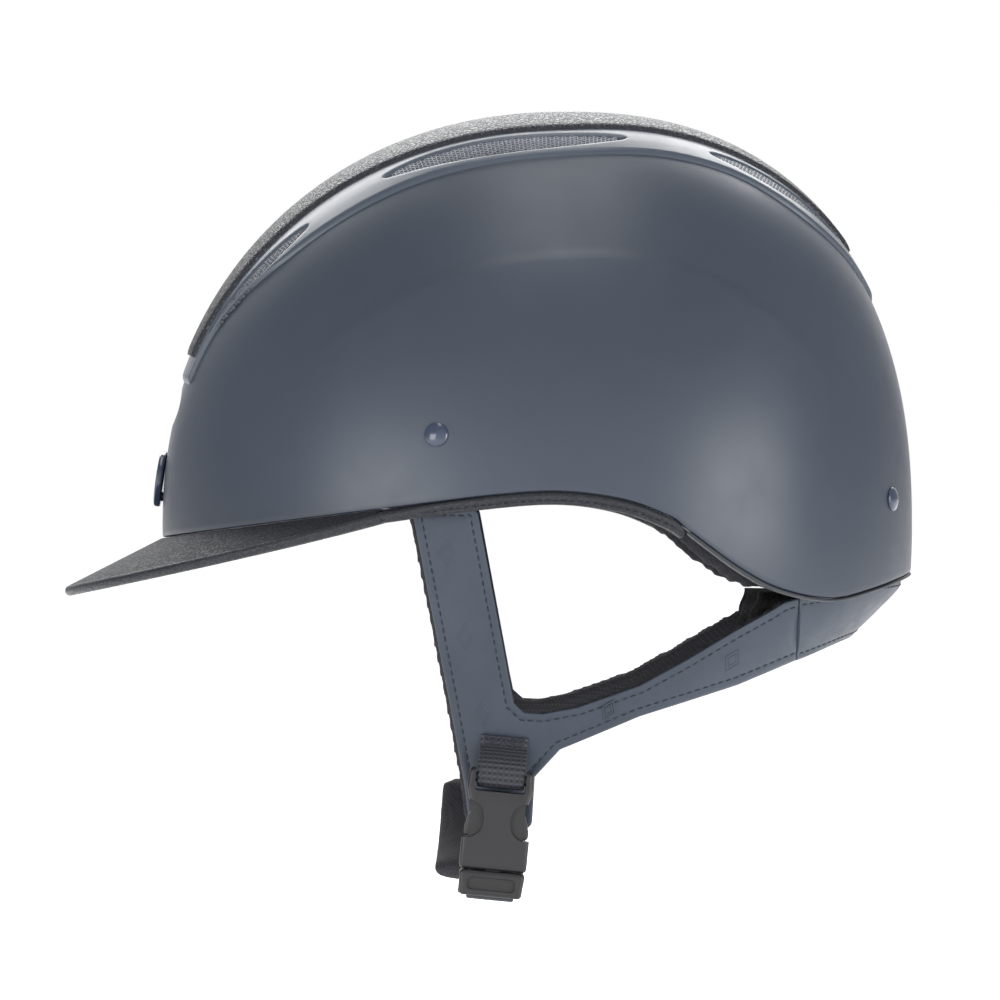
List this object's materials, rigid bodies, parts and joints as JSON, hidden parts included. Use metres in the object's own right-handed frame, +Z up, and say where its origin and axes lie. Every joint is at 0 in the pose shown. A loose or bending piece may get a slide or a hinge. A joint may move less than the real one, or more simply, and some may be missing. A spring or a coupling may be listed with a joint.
{
  "type": "equestrian riding helmet",
  "caption": "Riding helmet with a domed hard shell, vented crown panel, leather peak and a padded yoke harness closed under the chin by a side-release buckle.",
  "frame": {"origin": "middle of the head ring at brow level, where a head holds the helmet", "axes": "+Z up, -Y to the front of the helmet, +X to the wearer's left"},
  "size_m": [0.2094, 0.2964, 0.2759],
  "materials": {
    "shell_lacquer": "satin dark navy lacquer on a hard shell",
    "panel_lacquer": "satin blue-grey lacquer",
    "pebbled_leather": "pebble-grained navy leather with a soft sheen",
    "smooth_leather": "smooth navy leather with stitched edges",
    "vent_mesh": "silvery blue woven mesh",
    "rivet_lacquer": "glossy navy",
    "zinc_steel": "zinc-plated steel",
    "edge_rubber": "dull grey edging",
    "foam_and_board": "black bead foam and board",
    "webbing": "black woven webbing and tape",
    "buckle_plastic": "satin black moulded plastic",
    "padded_fabric": "black padded lining cloth",
    "mesh_fabric": "black spacer mesh"
  },
  "bodies": {
    "helmet": {"outer_shell": "shell_lacquer", "centre_panel": "panel_lacquer", "top_strip": "pebbled_leather", "vent_front_left": "vent_mesh", "vent_front_right": "vent_mesh", "vent_mid_left": "vent_mesh", "vent_mid_right": "vent_mesh", "vent_rear_left": "vent_mesh", "vent_rear_right": "vent_mesh", "front_grille": "vent_mesh", "badge_plate": "panel_lacquer", "badge_clips": "zinc_steel", "rivets": "rivet_lacquer", "rivet_washers": "zinc_steel", "strap_anchors": "webbing", "peak_core": "foam_and_board", "peak_cover": "pebbled_leather", "peak_underside": "smooth_leather", "peak_piping": "pebbled_leather", "rim_trim_left": "pebbled_leather", "rim_trim_right": "pebbled_leather", "rim_binding": "edge_rubber", "foam_liner": "foam_and_board", "hook_tape": "webbing", "headband": "padded_fabric", "brow_pad": "padded_fabric", "rear_pad": "padded_fabric", "crown_pad": "padded_fabric", "side_pad_left": "padded_fabric", "side_pad_right": "padded_fabric", "nape_mesh": "mesh_fabric", "nape_band": "smooth_leather", "nape_lining": "padded_fabric"},
    "yoke_left": {"harness_left": "smooth_leather", "lining_left": "padded_fabric", "loop_webbing": "webbing"},
    "yoke_right": {"harness_right": "smooth_leather", "lining_right": "padded_fabric", "anchor_webbing": "webbing"},
    "socket": {"buckle_socket": "buckle_plastic"},
    "chin_strap": {"chin_webbing": "webbing", "webbing_tail": "webbing", "chin_pad": "padded_fabric"},
    "slider": {"strap_slider": "buckle_plastic"},
    "plug": {"buckle_plug": "buckle_plastic", "plug_webbing": "webbing"},
    "front_prong": {"prong_front": "buckle_plastic"},
    "rear_prong": {"prong_rear": "buckle_plastic"}
  },
  "joints": [
    {"name": "yoke_left_sway", "type": "hinge", "parent": "helmet", "child": "yoke_left", "pos_m": [0.077, -0.012, 0.008], "axis": [0, 1, 0], "range_deg": [-6, 6]},
    {"name": "yoke_right_sway", "type": "hinge", "parent": "helmet", "child": "yoke_right", "pos_m": [-0.077, -0.012, 0.008], "axis": [0, 1, 0], "range_deg": [-6, 6]},
    {"name": "socket_swing", "type": "hinge", "parent": "yoke_left", "child": "socket", "pos_m": [0.077, -0.01244, -0.08008], "axis": [0, 1, 0], "range_deg": [-6, 6]},
    {"name": "chin_swing", "type": "hinge", "parent": "yoke_right", "child": "chin_strap", "pos_m": [-0.077, -0.01244, -0.08008], "axis": [0, 1, 0], "range_deg": [-6, 6]},
    {"name": "buckle_release", "type": "slide", "parent": "chin_strap", "child": "plug", "axis": [0, -0.0958, -0.9954], "range_m": [0, 0.025], "deforming": ["prong_front", "prong_rear"]},
    {"name": "prong_front_squeeze", "type": "hinge", "parent": "plug", "child": "front_prong", "pos_m": [0.077, -0.02213, -0.10868], "axis": [-1, 0, 0], "range_deg": [0, 9], "stiffness_Nm_per_rad": 0.02},
    {"name": "prong_rear_squeeze", "type": "hinge", "parent": "plug", "child": "rear_prong", "pos_m": [0.077, -0.00839, -0.11001], "axis": [1, 0, 0], "range_deg": [0, 9], "stiffness_Nm_per_rad": 0.02},
    {"name": "slider_travel", "type": "slide", "parent": "chin_strap", "child": "slider", "axis": [1, 0, 0], "range_m": [-0.03, 0.004]}
  ],
  "couplings": [
    {"joint": "yoke_right_sway", "follows": "yoke_left_sway", "ratio": 1},
    {"joint": "socket_swing", "follows": "yoke_left_sway", "ratio": -1},
    {"joint": "chin_swing", "follows": "yoke_left_sway", "ratio": -1}
  ]
}
